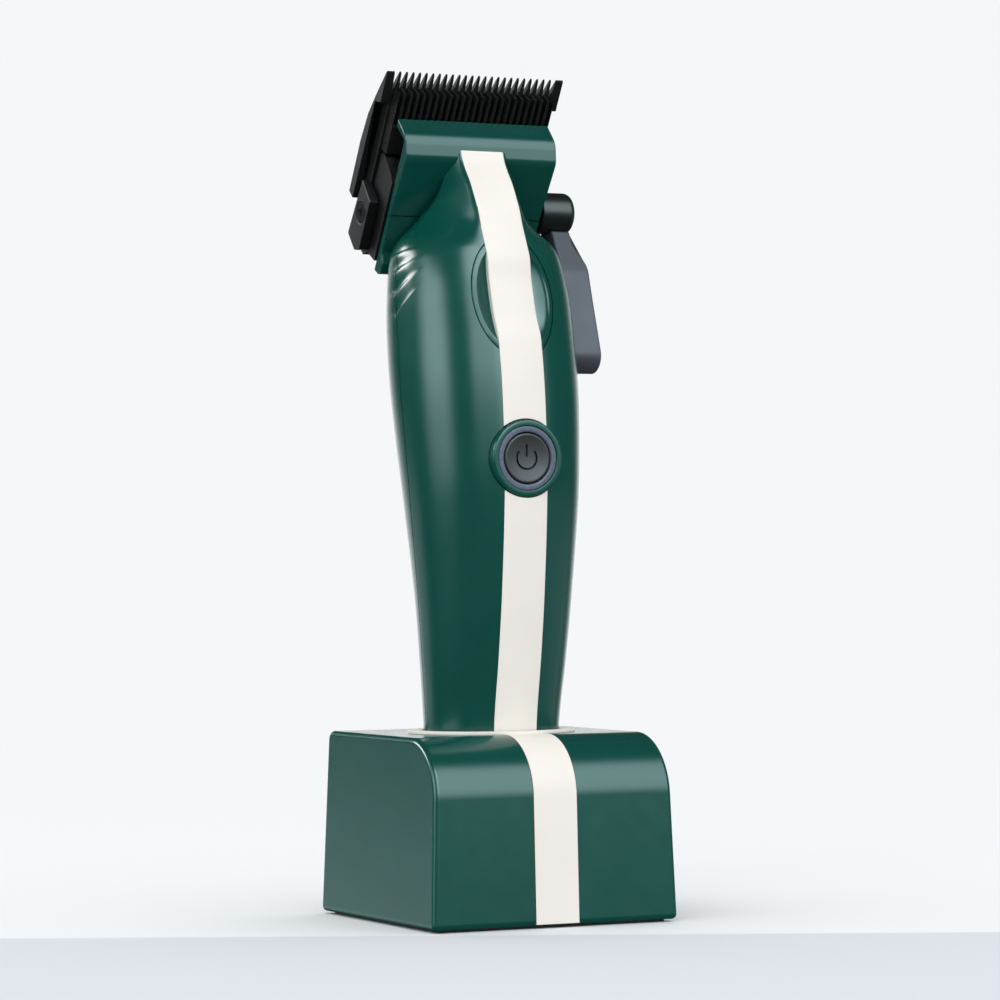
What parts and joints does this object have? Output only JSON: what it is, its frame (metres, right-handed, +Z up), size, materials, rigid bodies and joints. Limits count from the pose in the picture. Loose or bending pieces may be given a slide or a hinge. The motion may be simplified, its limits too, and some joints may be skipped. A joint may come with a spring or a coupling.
{
  "type": "hair clipper",
  "caption": "Cordless hair clipper with a toothed blade head, taper lever and power button, standing in its charging dock",
  "frame": {"origin": "middle of the dock's underside, on the surface that it stands on", "axes": "+Z up, -Y towards the stripe and power button, +X towards the taper lever"},
  "size_m": [0.062, 0.0637, 0.1969],
  "materials": {
    "green_body": "satin painted moulding",
    "green_head": "satin paint",
    "cream_stripe": "satin cream inlay",
    "black_blade": "black coated steel",
    "black_bracket": "black moulding",
    "slate_lever": "satin slate grey coat",
    "button_dark": "matte dark grey",
    "light_ring": "diffusing ring",
    "bright_steel": "bright steel",
    "screw_black": "black zinc",
    "bronze": "sintered bronze",
    "gold_contact": "gold plated",
    "board_green": "solder mask",
    "battery_wrap": "shrink sleeve",
    "rubber_pad": "matt rubber",
    "black_liner": "black moulding",
    "ballast_steel": "plain"
  },
  "bodies": {
    "dock": {"dock_housing": "green_body", "dock_base_plate": "black_liner", "dock_pad": "rubber_pad", "dock_stripe": "cream_stripe", "dock_socket_ring": "cream_stripe", "dock_socket_cup": "black_liner", "dock_circuit_board": "board_green", "dock_ballast": "ballast_steel", "dock_usb_socket": "bright_steel", "dock_screws": "bright_steel"},
    "contact_pins": {"dock_contact_pins": "gold_contact"},
    "clipper": {"front_shell": "green_body", "rear_shell": "green_body", "end_cap": "black_liner", "stripe_upper": "cream_stripe", "stripe_lower": "cream_stripe", "thumb_dish": "green_body", "button_bezel": "green_body", "indicator_ring": "light_ring", "power_switch": "black_liner", "main_circuit_board": "board_green", "battery": "battery_wrap", "battery_holder": "black_liner", "charge_contacts": "gold_contact", "body_screws": "screw_black", "end_cap_screws": "bright_steel", "motor_can": "bright_steel", "motor_bearing": "bronze", "motor_mount": "black_liner", "head_cover": "green_head", "head_base": "green_head", "blade_bracket": "black_bracket", "side_clamp_left": "black_bracket", "side_clamp_right": "black_bracket", "side_screws": "screw_black", "hold_down_spring": "bright_steel", "lever_bushing": "bronze"},
    "power_button": {"power_button": "button_dark"},
    "rotor": {"motor_shaft": "bright_steel", "eccentric": "bright_steel"},
    "blade_carrier": {"fixed_blade": "black_blade", "blade_screws": "screw_black", "blade_nuts": "bright_steel", "blade_link": "bright_steel"},
    "cutter": {"moving_blade": "black_blade", "cutter_yoke": "black_liner"},
    "lever": {"taper_lever": "slate_lever", "lever_shaft": "bright_steel", "lever_crank": "bright_steel"}
  },
  "joints": [
    {"name": "lift_out", "type": "slide", "parent": "dock", "child": "clipper", "axis": [0, 0, 1], "range_m": [0, 0.06]},
    {"name": "pin_press", "type": "slide", "parent": "dock", "child": "contact_pins", "axis": [0, 0, -1], "range_m": [0, 0.0012], "stiffness_N_per_m": 300, "springref_m": -0.001},
    {"name": "button_press", "type": "slide", "parent": "clipper", "child": "power_button", "axis": [0, 1, 0], "range_m": [0, 0.0008], "stiffness_N_per_m": 400, "springref_m": -0.0005},
    {"name": "motor_spin", "type": "hinge", "parent": "clipper", "child": "rotor", "pos_m": [0, 0.0055, 0.102], "axis": [0, 0.2079, 0.9781], "continuous": true},
    {"name": "taper_turn", "type": "hinge", "parent": "clipper", "child": "lever", "pos_m": [0, 0.0186, 0.166], "axis": [1, 0, 0], "range_deg": [0, 50]},
    {"name": "blade_slide", "type": "slide", "parent": "clipper", "child": "blade_carrier", "axis": [0, 0.515, -0.8572], "range_m": [0, 0.00146]},
    {"name": "cutter_slide", "type": "slide", "parent": "clipper", "child": "cutter", "axis": [1, 0, 0], "range_m": [-0.0012, 0.0012]}
  ],
  "couplings": [
    {"joint": "taper_turn", "follows": "blade_slide", "rad_per_m": 599.57}
  ]
}
